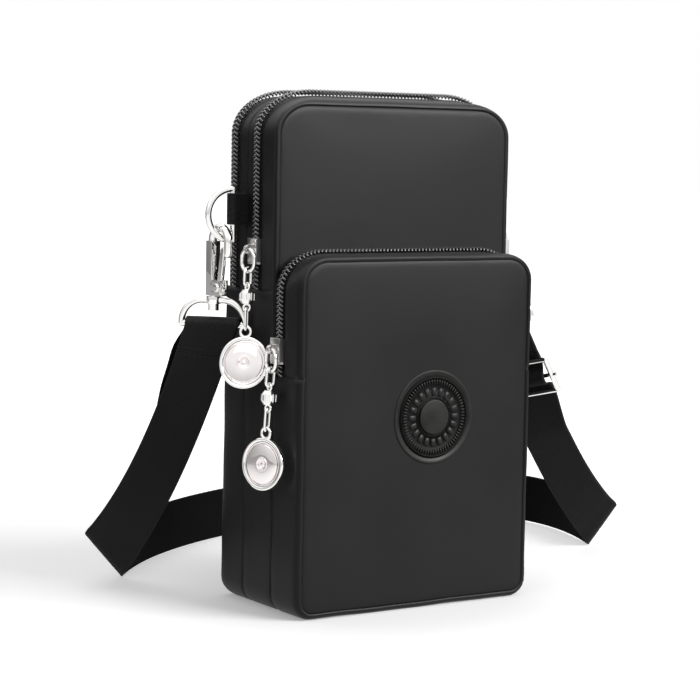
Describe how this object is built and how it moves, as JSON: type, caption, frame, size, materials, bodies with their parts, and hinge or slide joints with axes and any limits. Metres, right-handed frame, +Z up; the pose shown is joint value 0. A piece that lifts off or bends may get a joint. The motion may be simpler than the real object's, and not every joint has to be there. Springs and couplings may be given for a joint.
{
  "type": "phone pouch",
  "caption": "Upright padded phone pouch with two tall zipped compartments, a zipped front pocket, charm zip pulls, and a webbing strap on snap hooks and side rings",
  "frame": {"origin": "on the floor under the middle of the pouch body, between its two sides and between its front and back faces", "axes": "+X to the right seen from the front, -Y to the front, +Z up"},
  "size_m": [0.2353, 0.1728, 0.1827],
  "materials": {
    "shell": "satin coated nylon",
    "webbing": "twill webbing",
    "lining": "plain lining",
    "trim": "woven tape",
    "coil": "nylon coil",
    "badge": "matt moulded",
    "nickel": "bright nickel plate",
    "charm_satin": "satin"
  },
  "bodies": {
    "pouch": {"back_panel": "shell", "rear_gusset": "shell", "rear_zip_band": "shell", "rear_zip_tape": "trim", "rear_zip_coil": "coil", "rear_divider": "lining", "main_gusset": "shell", "main_zip_band": "shell", "main_zip_tape": "trim", "main_zip_coil": "coil", "main_front_panel": "shell", "pocket_gusset": "shell", "pocket_zip_band": "shell", "pocket_zip_tape": "trim", "pocket_zip_coil": "coil", "pocket_front_panel": "shell", "seam_piping": "trim", "rear_lining": "lining", "main_lining": "lining", "pocket_lining": "lining", "badge_ring": "badge", "badge_centre": "badge", "side_tabs": "webbing"},
    "left_ring": {"left_d_ring": "nickel"},
    "right_ring": {"right_d_ring": "nickel"},
    "strap": {"strap_webbing": "webbing", "left_eye": "nickel", "right_eye": "nickel", "adjuster_frame": "nickel", "adjuster_bar": "nickel"},
    "left_clip": {"left_hook": "nickel", "left_rivet": "nickel"},
    "left_latch": {"left_gate": "nickel"},
    "right_clip": {"right_hook": "nickel", "right_rivet": "nickel"},
    "right_latch": {"right_gate": "nickel"},
    "main_slide": {"main_slider": "nickel"},
    "main_ring": {"main_pull": "nickel"},
    "main_chain": {"main_link": "nickel", "main_bead": "nickel", "main_drop": "nickel"},
    "main_disc": {"main_charm": "nickel", "main_charm_cap": "charm_satin"},
    "pocket_slide": {"pocket_slider": "nickel"},
    "pocket_ring": {"pocket_pull": "nickel"},
    "pocket_chain": {"pocket_link": "nickel", "pocket_bead": "nickel", "pocket_drop": "nickel"},
    "pocket_disc": {"pocket_charm": "nickel", "pocket_charm_cap": "charm_satin"},
    "rear_slide": {"rear_slider": "nickel"},
    "rear_ring": {"rear_pull": "nickel"}
  },
  "joints": [
    {"name": "left_ring_turn", "type": "hinge", "parent": "pouch", "child": "left_ring", "pos_m": [-0.055, 0.0105, 0.141], "axis": [0, 0, 1], "range_deg": [-3, 3]},
    {"name": "right_ring_turn", "type": "hinge", "parent": "pouch", "child": "right_ring", "pos_m": [0.055, 0.0105, 0.141], "axis": [0, 0, 1], "range_deg": [-3, 3]},
    {"name": "strap_swing", "type": "hinge", "parent": "pouch", "child": "strap", "pos_m": [0, 0.01126, 0.13082], "axis": [1, 0, 0], "range_deg": [0, 35]},
    {"name": "left_clip_swivel", "type": "hinge", "parent": "strap", "child": "left_clip", "pos_m": [-0.0597, 0.01545, 0.11042], "axis": [0, 0, 1], "range_deg": [-4, 4]},
    {"name": "left_gate_press", "type": "hinge", "parent": "left_clip", "child": "left_latch", "pos_m": [-0.05936, 0.01156, 0.11322], "axis": [-0.9962, -0.0872, 0], "range_deg": [0, 12], "stiffness_Nm_per_rad": 0.002},
    {"name": "right_clip_swivel", "type": "hinge", "parent": "strap", "child": "right_clip", "pos_m": [0.06063, 0.00727, 0.11042], "axis": [0, 0, 1], "range_deg": [-4, 4]},
    {"name": "right_gate_press", "type": "hinge", "parent": "right_clip", "child": "right_latch", "pos_m": [0.05943, 0.01098, 0.11322], "axis": [0.9511, 0.309, 0], "range_deg": [0, 12], "stiffness_Nm_per_rad": 0.002},
    {"name": "main_zip_run", "type": "slide", "parent": "pouch", "child": "main_slide", "axis": [0, 0, 1], "range_m": [-0.006, 0.026]},
    {"name": "main_pull_swing", "type": "hinge", "parent": "main_slide", "child": "main_ring", "pos_m": [-0.0535, 0.0022, 0.1272], "axis": [0, 1, 0], "range_deg": [0, 45]},
    {"name": "main_chain_swing", "type": "hinge", "parent": "main_ring", "child": "main_chain", "pos_m": [-0.0535, 0.0022, 0.1194], "axis": [0, 1, 0], "range_deg": [0, 40]},
    {"name": "main_charm_swing", "type": "hinge", "parent": "main_chain", "child": "main_disc", "pos_m": [-0.05579, -0.00083, 0.09928], "axis": [0.7504, 0.6357, -0.1811], "range_deg": [0, 20]},
    {"name": "pocket_zip_run", "type": "slide", "parent": "pouch", "child": "pocket_slide", "axis": [0, 0, 1], "range_m": [-0.001, 0.016]},
    {"name": "pocket_pull_swing", "type": "hinge", "parent": "pocket_slide", "child": "pocket_ring", "pos_m": [-0.0535, -0.0142, 0.0936], "axis": [0, 1, 0], "range_deg": [0, 45]},
    {"name": "pocket_chain_swing", "type": "hinge", "parent": "pocket_ring", "child": "pocket_chain", "pos_m": [-0.0535, -0.0142, 0.0858], "axis": [0, 1, 0], "range_deg": [0, 40]},
    {"name": "pocket_charm_swing", "type": "hinge", "parent": "pocket_chain", "child": "pocket_disc", "pos_m": [-0.05493, -0.0142, 0.06538], "axis": [0.9487, 0.309, -0.0663], "range_deg": [0, 20]},
    {"name": "rear_zip_run", "type": "slide", "parent": "pouch", "child": "rear_slide", "axis": [0, 0, 1], "range_m": [-0.006, 0.026]},
    {"name": "rear_pull_swing", "type": "hinge", "parent": "rear_slide", "child": "rear_ring", "pos_m": [0.0535, 0.0176, 0.1272], "axis": [0, -1, 0], "range_deg": [0, 30]}
  ]
}
